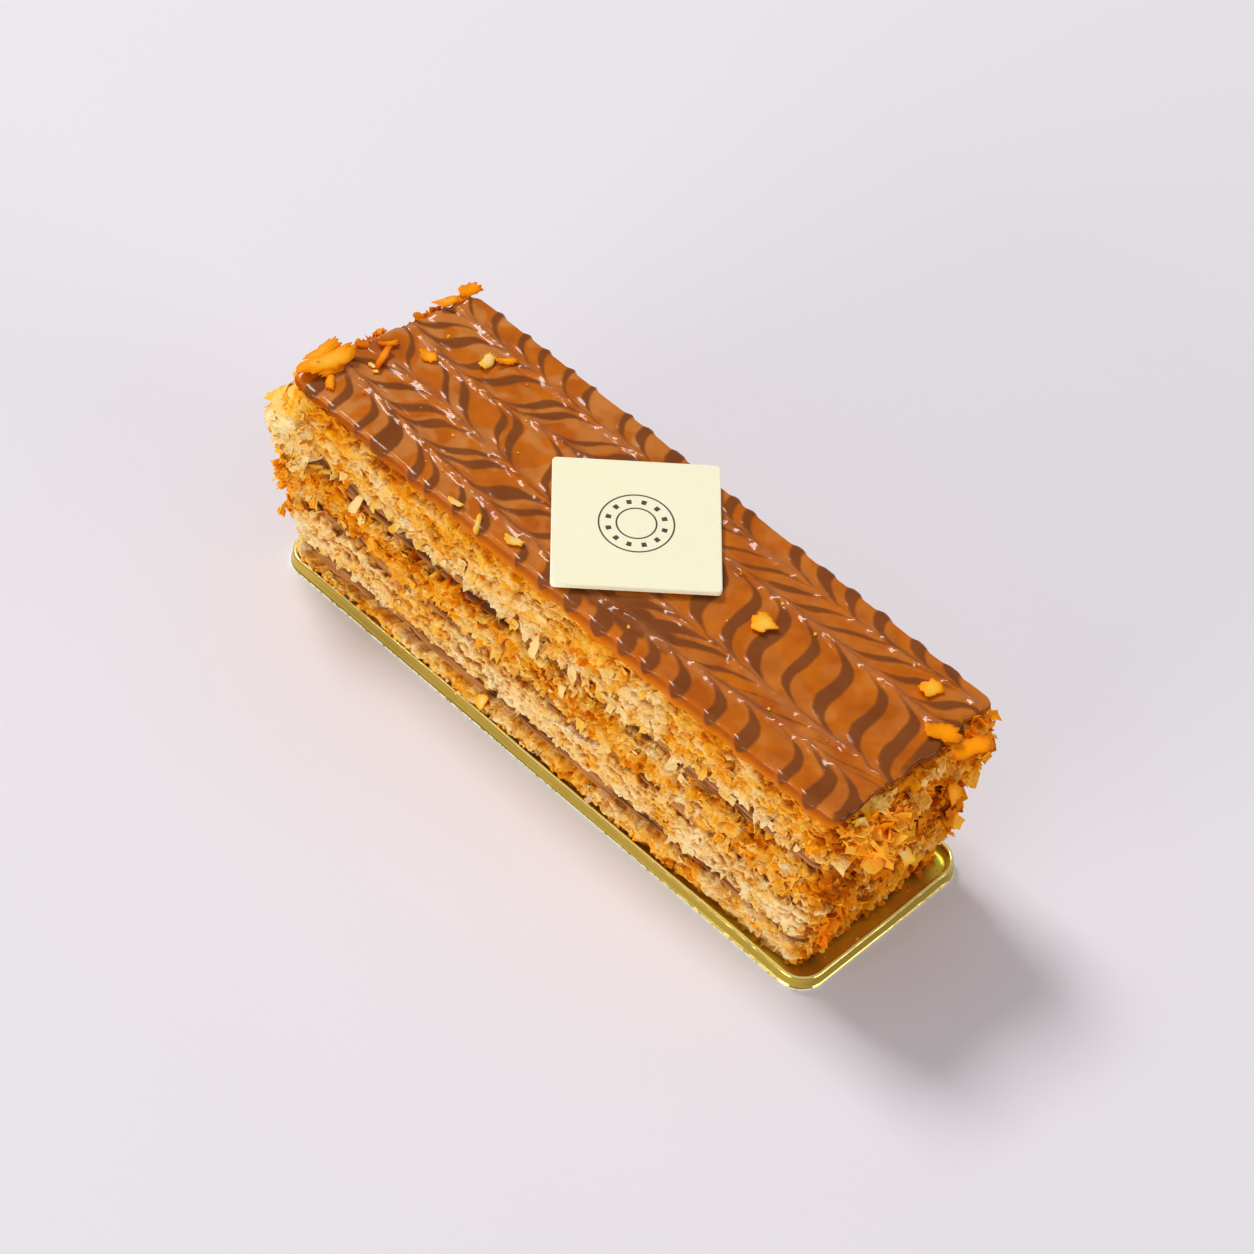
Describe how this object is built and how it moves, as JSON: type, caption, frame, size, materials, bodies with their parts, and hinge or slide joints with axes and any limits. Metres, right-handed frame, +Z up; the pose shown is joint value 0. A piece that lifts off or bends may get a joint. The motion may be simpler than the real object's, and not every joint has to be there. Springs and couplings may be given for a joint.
{
  "type": "mille feuille slice",
  "caption": "Long rectangular slice of layered puff pastry and cream with a feathered caramel glaze, loose flakes and a thin plaque, in a shallow gold card case.",
  "frame": {"origin": "centre of the underside of the card case, which lies on the surface below", "axes": "+X along the slice to its square end, +Y to the long side away from the deep lip of glaze, +Z up"},
  "size_m": [0.1346, 0.0432, 0.0452],
  "materials": {
    "gold_card": "gold foil, glossy",
    "pastry": "baked, flaky, matte",
    "pastry_pale": "baked, flaky, matte",
    "cream": "smooth praline cream, soft sheen",
    "caramel_glaze": "glossy caramel with brown feathered stripes",
    "white_plaque": "ivory, satin"
  },
  "bodies": {
    "root": {"card_case": "gold_card", "pastry_bottom": "pastry", "cream_bottom": "cream", "pastry_lower": "pastry_pale", "cream_middle": "cream", "pastry_upper": "pastry", "cream_top": "cream", "pastry_top": "pastry", "glaze": "caramel_glaze", "plaque": "white_plaque"}
  },
  "joints": []
}
